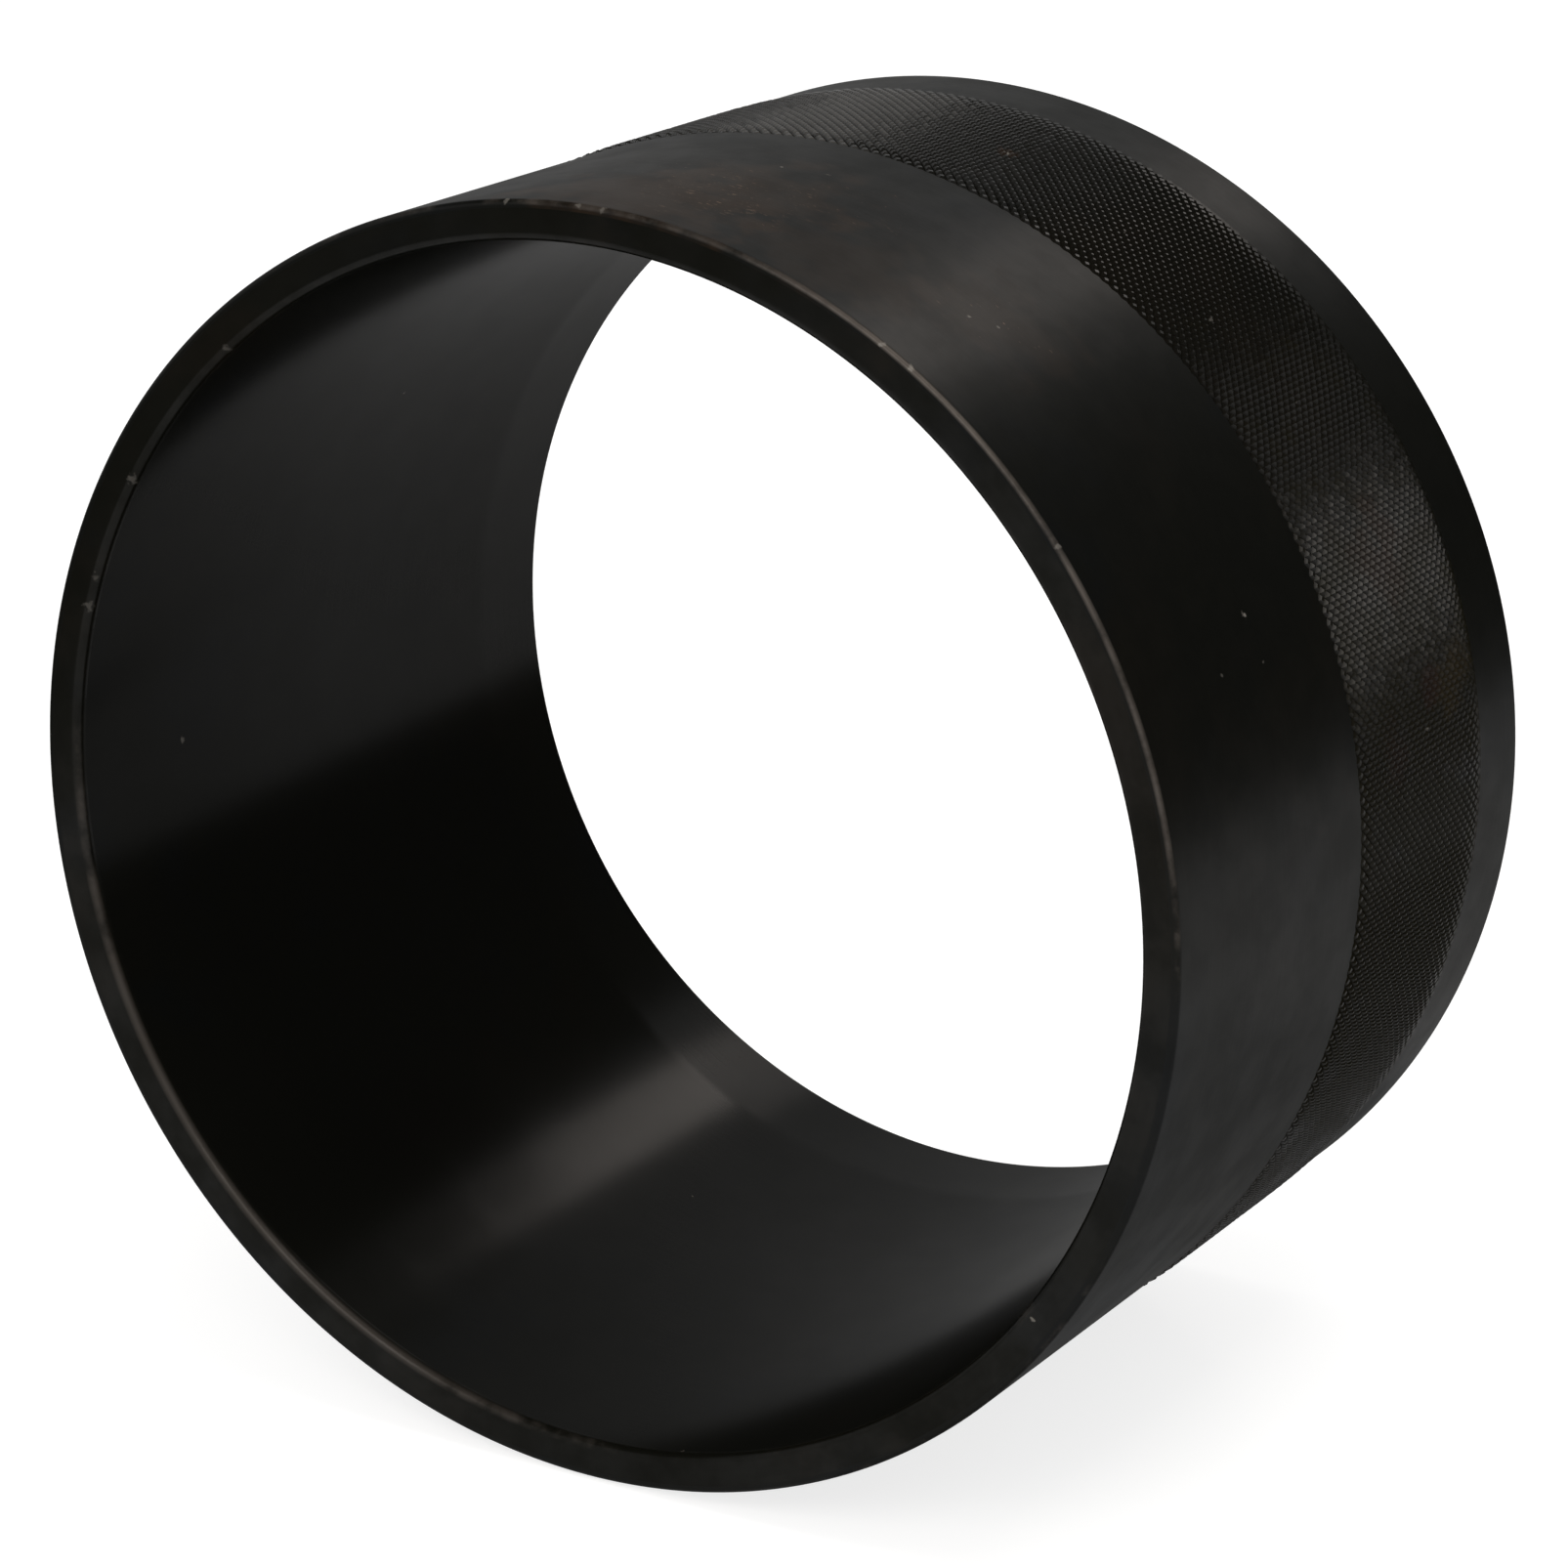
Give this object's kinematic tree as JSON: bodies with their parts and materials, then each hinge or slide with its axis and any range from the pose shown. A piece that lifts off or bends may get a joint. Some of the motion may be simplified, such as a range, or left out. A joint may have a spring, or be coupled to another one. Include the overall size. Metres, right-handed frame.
{
  "type": "piston ring compressor",
  "caption": "Black turned steel sleeve with a tapered bore, a smooth mouth band and a knurled grip, for closing piston rings as a piston is pushed into its cylinder.",
  "frame": {"origin": "centre of the seat ring, on the plane where the sleeve stands on the cylinder block", "axes": "+Z along the bore axis, from the seat up to the wide mouth"},
  "size_m": [0.1466, 0.1466, 0.09],
  "materials": {
    "blackened_steel": "black oxide on turned steel, satin, brown at worn edges"
  },
  "bodies": {
    "root": {"sleeve": "blackened_steel"}
  },
  "joints": []
}
